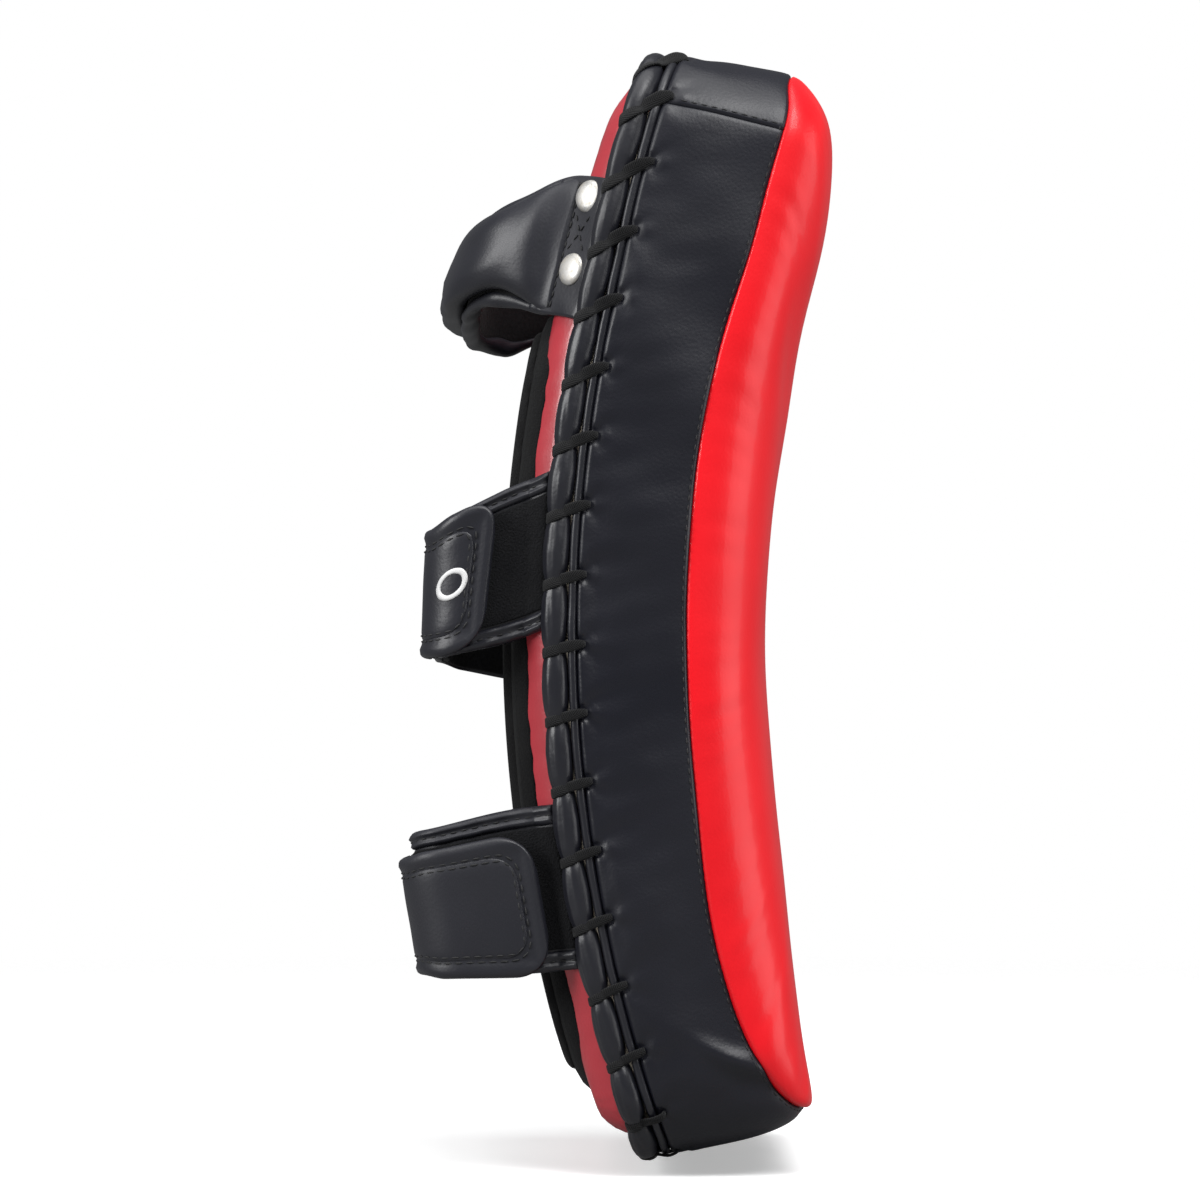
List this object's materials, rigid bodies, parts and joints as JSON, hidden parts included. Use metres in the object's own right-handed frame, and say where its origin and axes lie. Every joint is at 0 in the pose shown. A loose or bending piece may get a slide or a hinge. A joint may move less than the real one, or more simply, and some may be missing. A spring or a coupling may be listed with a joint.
{
  "type": "thai pad",
  "caption": "Curved forearm kick pad with a domed strike face, laced edge, riveted hand grip and hook-and-loop forearm straps.",
  "frame": {"origin": "middle of the flat land on the forearm cushion, between the two straps", "axes": "+Z along the length of the pad towards the hand grip, +Y out of the back towards the forearm, -Y out of the strike face, -X the side on which the straps close"},
  "size_m": [0.1988, 0.1585, 0.4022],
  "materials": {
    "red_leather": "glossy smooth synthetic leather",
    "black_leather": "semi-gloss synthetic leather, fine grain",
    "black_cloth": "matt brushed fabric",
    "lace_cord": "matt flat woven lace",
    "hook_tape": "hook-and-loop pile",
    "foam": "open-cell foam",
    "eva": "closed-cell foam sheet",
    "nickel": "nickel-plated, satin"
  },
  "bodies": {
    "pad": {"strike_cover": "red_leather", "front_foam": "foam", "middle_foam": "eva", "rear_foam": "foam", "top_gusset": "black_leather", "long_gusset": "black_leather", "back_panel": "red_leather", "lacing_roll": "black_leather", "edge_piping": "black_leather", "edge_lace": "lace_cord", "forearm_cushion_cover": "black_cloth", "forearm_cushion_foam": "foam", "grip_cover": "black_leather", "grip_foam": "foam", "grip_lining": "black_cloth", "grip_tab_near": "black_leather", "grip_tab_far": "black_leather", "rivet_near_upper": "nickel", "burr_near_upper": "nickel", "rivet_near_lower": "nickel", "burr_near_lower": "nickel", "rivet_far_upper": "nickel", "burr_far_upper": "nickel", "rivet_far_lower": "nickel", "burr_far_lower": "nickel"},
    "middle_strap": {"middle_strap": "black_leather", "middle_strap_lining": "black_cloth"},
    "middle_flap": {"middle_flap": "black_leather", "middle_flap_panel": "black_leather", "middle_flap_hook": "hook_tape"},
    "middle_band": {"middle_band": "black_leather", "middle_band_loop": "hook_tape", "middle_band_binding_upper": "black_leather", "middle_band_binding_lower": "black_leather"},
    "lower_strap": {"lower_strap": "black_leather", "lower_strap_lining": "black_cloth"},
    "lower_flap": {"lower_flap": "black_leather", "lower_flap_panel": "black_leather", "lower_flap_hook": "hook_tape"},
    "lower_band": {"lower_band": "black_leather", "lower_band_loop": "hook_tape", "lower_band_binding_upper": "black_leather", "lower_band_binding_lower": "black_leather"}
  },
  "joints": [
    {"name": "middle_flap_peel", "type": "hinge", "parent": "middle_strap", "child": "middle_flap", "pos_m": [-0.0746, 0.02947, 0.05218], "axis": [0, 0.0385, -0.9993], "range_deg": [0, 120]},
    {"name": "middle_strap_swing", "type": "hinge", "parent": "pad", "child": "middle_strap", "pos_m": [0.084, -0.00786, 0.04959], "axis": [0, 0.0385, -0.9993], "range_deg": [0, 72]},
    {"name": "middle_band_fold", "type": "hinge", "parent": "pad", "child": "middle_band", "pos_m": [-0.0832, -0.00846, 0.06503], "axis": [0, -0.0385, 0.9993], "range_deg": [0, 30]},
    {"name": "lower_flap_peel", "type": "hinge", "parent": "lower_strap", "child": "lower_flap", "pos_m": [-0.0726, 0.03466, -0.06419], "axis": [0, -0.1706, -0.9853], "range_deg": [0, 120]},
    {"name": "lower_strap_swing", "type": "hinge", "parent": "pad", "child": "lower_strap", "pos_m": [0.084, -0.01514, -0.05055], "axis": [0, -0.1706, -0.9853], "range_deg": [0, 72]},
    {"name": "lower_band_fold", "type": "hinge", "parent": "pad", "child": "lower_band", "pos_m": [-0.0832, -0.01564, -0.05342], "axis": [0, 0.1706, 0.9853], "range_deg": [0, 30]}
  ],
  "couplings": [
    {"joint": "middle_strap_swing", "follows": "middle_flap_peel", "ratio": 0.6},
    {"joint": "middle_band_fold", "follows": "middle_flap_peel", "ratio": 0.25},
    {"joint": "lower_strap_swing", "follows": "lower_flap_peel", "ratio": 0.6},
    {"joint": "lower_band_fold", "follows": "lower_flap_peel", "ratio": 0.25}
  ]
}
